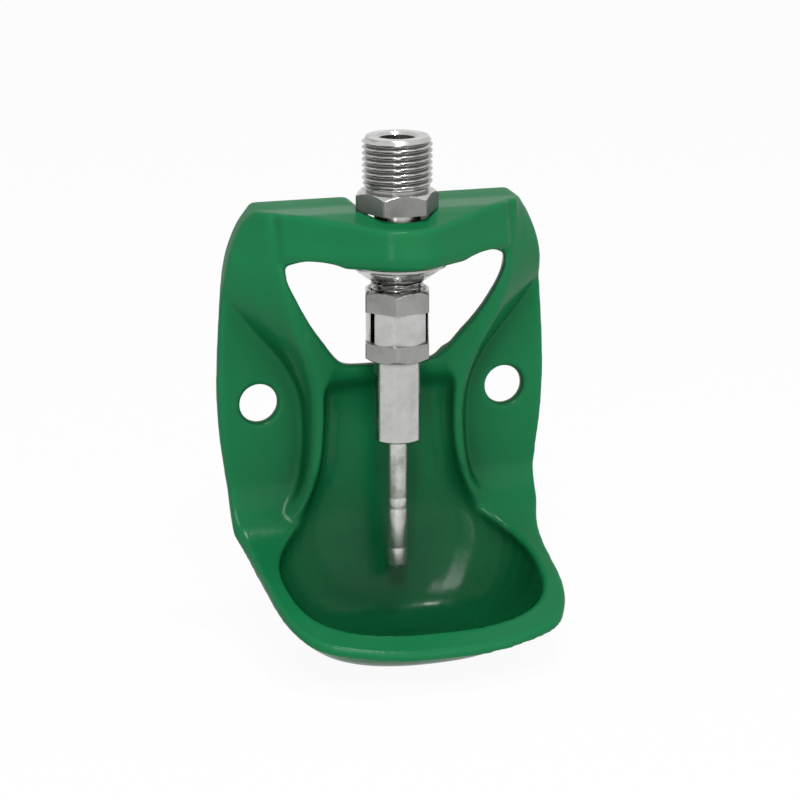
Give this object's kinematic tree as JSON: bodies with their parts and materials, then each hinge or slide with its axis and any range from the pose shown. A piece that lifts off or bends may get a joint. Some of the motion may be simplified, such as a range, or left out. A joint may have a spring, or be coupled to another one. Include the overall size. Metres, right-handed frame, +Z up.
{
  "type": "livestock drinking bowl",
  "caption": "Wall-mounted cast drinking bowl for small livestock, with two wings, a bridge and an upright rod valve that hangs into the bowl.",
  "frame": {"origin": "Midway between the two wall holes, on the back face of the casting", "axes": "+Z up, the front looks along -Y, the wall is the plane Y = 0, +X to the right seen from the front"},
  "size_m": [0.1036, 0.071, 0.1559],
  "materials": {
    "green_enamel": "glossy",
    "stainless_steel": "satin",
    "drawn_steel": "satin",
    "spring_steel": "satin",
    "black_rubber": "matte"
  },
  "bodies": {
    "housing": {"bowl_casting": "green_enamel", "inlet_fitting": "stainless_steel", "inlet_strainer": "stainless_steel", "clamp_nut": "stainless_steel", "guide_body": "stainless_steel", "valve_seal": "black_rubber", "valve_spring": "spring_steel"},
    "spring_plate": {"spring_cup": "drawn_steel"},
    "rod": {"valve_rod": "drawn_steel"}
  },
  "joints": [
    {"name": "rod_fore_aft", "type": "hinge", "parent": "housing", "child": "spring_plate", "pos_m": [0, -0.019, 0.03395], "axis": [1, 0, 0], "range_deg": [-2.8, 2.8], "stiffness_Nm_per_rad": 0.35, "deforming": ["valve_spring"]},
    {"name": "rod_side_to_side", "type": "hinge", "parent": "spring_plate", "child": "rod", "pos_m": [0, -0.019, 0.03395], "axis": [0, 1, 0], "range_deg": [-2.8, 2.8], "stiffness_Nm_per_rad": 0.35}
  ]
}
